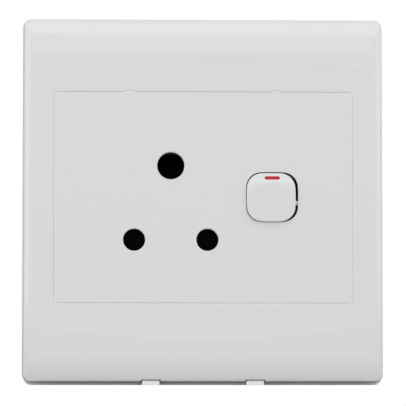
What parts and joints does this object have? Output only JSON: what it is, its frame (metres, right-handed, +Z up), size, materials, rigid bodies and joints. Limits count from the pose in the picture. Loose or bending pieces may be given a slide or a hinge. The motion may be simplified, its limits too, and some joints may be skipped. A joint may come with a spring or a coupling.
{
  "type": "switched wall socket",
  "caption": "Square flush wall plate with a round-pin socket behind a shutter and a rocker switch beside it, with box screws and wire terminals at the back.",
  "frame": {"origin": "midway between the two box screws, in the plane of the wall, which is also the centre of the cover plate", "axes": "+X to the right as the user faces the plate, +Z up, -Y out of the wall towards the user; the works are on the +Y side, inside the wall box"},
  "size_m": [0.1256, 0.0338, 0.1277],
  "materials": {
    "white_plastic": "smooth, slightly glossy white",
    "rocker_plastic": "smooth, glossy white",
    "frame_plastic": "satin white",
    "housing_plastic": "matte off-white moulding",
    "black_plastic": "matte black",
    "plunger_plastic": "matte natural",
    "red_plastic": "glossy red",
    "brass": "plain stamped brass",
    "silver": "dull silver contact",
    "zinc_steel": "bright zinc-plated steel",
    "spring_steel": "drawn spring wire"
  },
  "bodies": {
    "socket": {"cover_plate": "white_plastic", "backing_frame": "frame_plastic", "face_panel": "white_plastic", "rear_housing": "housing_plastic", "box_screws": "zinc_steel", "housing_screws": "zinc_steel", "shutter_spring": "spring_steel", "neutral_sleeve": "brass", "neutral_spring_ring": "spring_steel", "neutral_strap": "brass", "neutral_terminal": "brass", "neutral_terminal_screw": "zinc_steel", "live_sleeve": "brass", "live_spring_ring": "spring_steel", "live_strap": "brass", "fixed_contact": "silver", "line_bracket": "brass", "line_terminal": "brass", "line_terminal_screw": "zinc_steel", "blade_axle": "spring_steel", "earth_sleeve": "brass", "earth_spring_ring": "spring_steel", "earth_strap": "brass", "earth_terminal": "brass", "earth_terminal_screw": "zinc_steel"},
    "rocker": {"rocker": "rocker_plastic", "red_indicator": "red_plastic", "plunger_spring": "spring_steel"},
    "plunger": {"plunger": "plunger_plastic"},
    "blade": {"contact_blade": "brass", "blade_rivet": "silver"},
    "shutter": {"shutter": "black_plastic"}
  },
  "joints": [
    {"name": "rocker_tilt", "type": "hinge", "parent": "socket", "child": "rocker", "pos_m": [0.0236, -0.0085, -0.00118], "axis": [-1, 0, 0], "range_deg": [0, 12]},
    {"name": "blade_tilt", "type": "hinge", "parent": "socket", "child": "blade", "pos_m": [0.0236, 0.0064, -0.00118], "axis": [1, 0, 0], "range_deg": [0, 14]},
    {"name": "plunger_slide", "type": "slide", "parent": "rocker", "child": "plunger", "axis": [0, -0.9945, -0.1045], "range_m": [0, 0.0008], "stiffness_N_per_m": 300, "springref_m": -0.003, "deforming": ["plunger_spring"]},
    {"name": "shutter_slide", "type": "slide", "parent": "socket", "child": "shutter", "axis": [0, 0, -1], "range_m": [0, 0.0092], "stiffness_N_per_m": 60, "springref_m": -0.008, "deforming": ["shutter_spring"]}
  ],
  "couplings": [
    {"joint": "blade_tilt", "follows": "rocker_tilt", "ratio": 1.1666}
  ]
}
